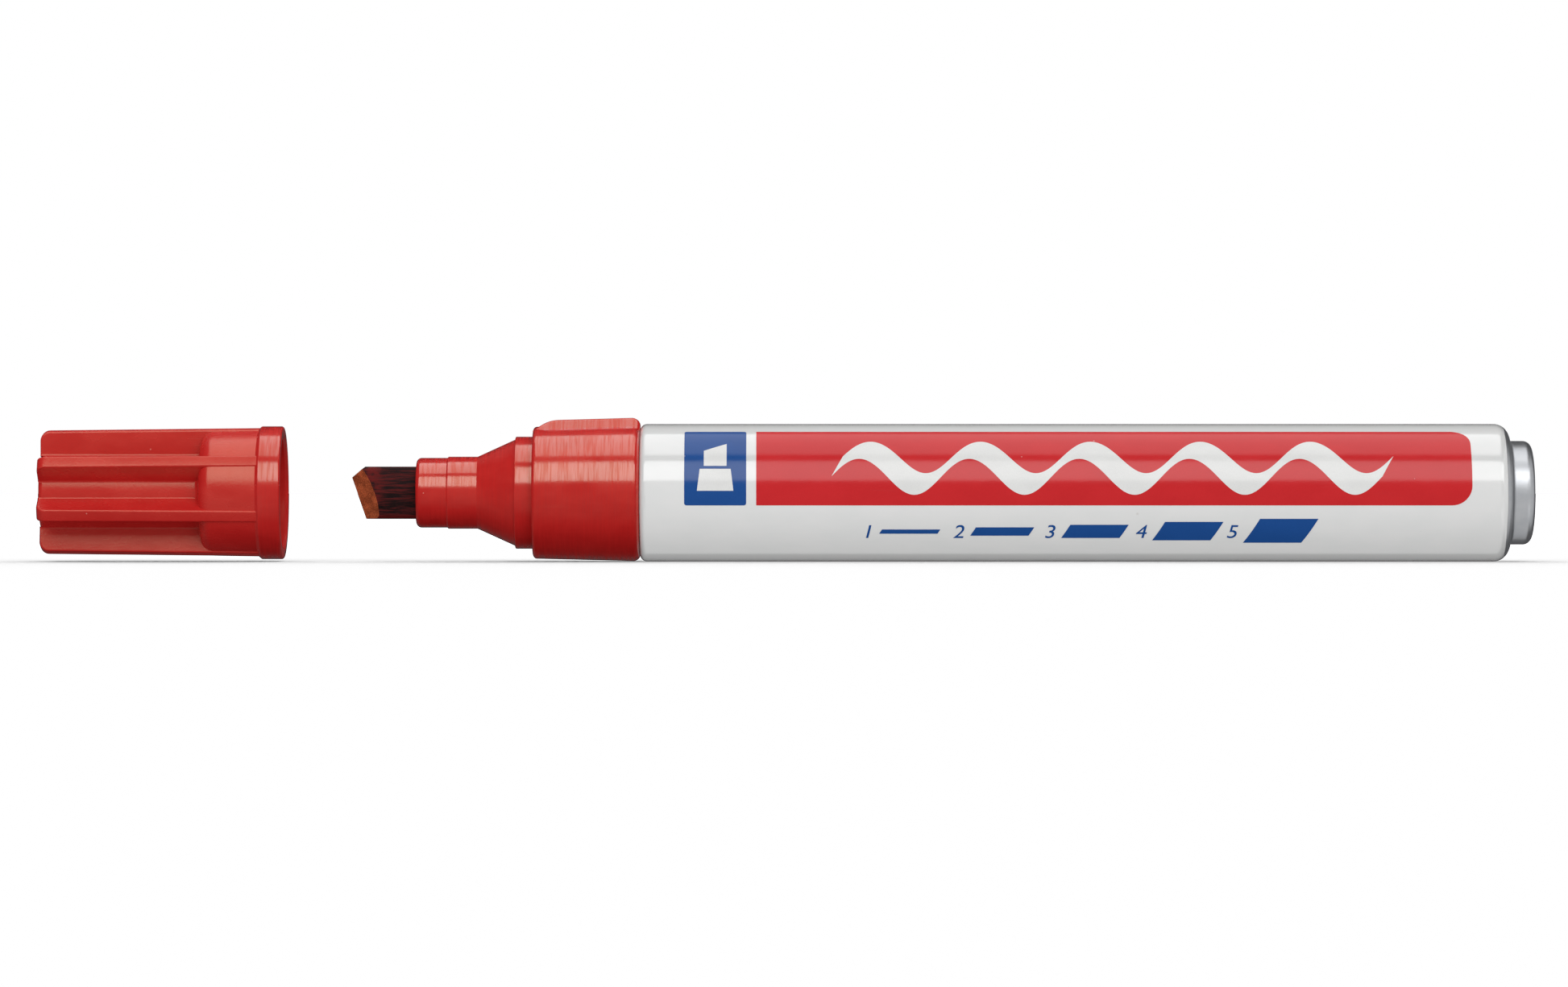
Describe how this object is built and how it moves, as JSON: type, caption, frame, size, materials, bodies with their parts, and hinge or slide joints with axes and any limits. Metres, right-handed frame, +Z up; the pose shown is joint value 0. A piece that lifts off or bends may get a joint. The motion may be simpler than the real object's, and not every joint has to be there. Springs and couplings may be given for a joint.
{
  "type": "felt tip marker",
  "caption": "Chisel-nib marker with a white lacquered aluminium barrel, a red front section with an anti-roll lug, and a ribbed red pull-off cap.",
  "frame": {"origin": "under the middle of the whole part's box, at the surface that the barrel lies on", "axes": "+X along the marker from the cap and nib towards the tail; +Z up, through the anti-roll lug; the print faces -Y"},
  "size_m": [0.1648, 0.0152, 0.0159],
  "materials": {
    "lacquered_barrel": "white lacquer with a red and blue print, bare metal at the tail",
    "red_moulding": "satin-gloss injection moulding",
    "nib_felt": "pressed fibre soaked with dark ink",
    "reservoir_fibre": "ink-soaked polyester fibre",
    "reservoir_wrap": "thin plastic film"
  },
  "bodies": {
    "marker": {"barrel": "lacquered_barrel", "front_section": "red_moulding", "nib": "nib_felt", "reservoir_core": "reservoir_fibre", "reservoir_film": "reservoir_wrap"},
    "cap": {"cap": "red_moulding"}
  },
  "joints": [
    {"name": "cap_slide", "type": "slide", "parent": "marker", "child": "cap", "axis": [1, 0, 0], "range_m": [0, 0.0276]}
  ]
}
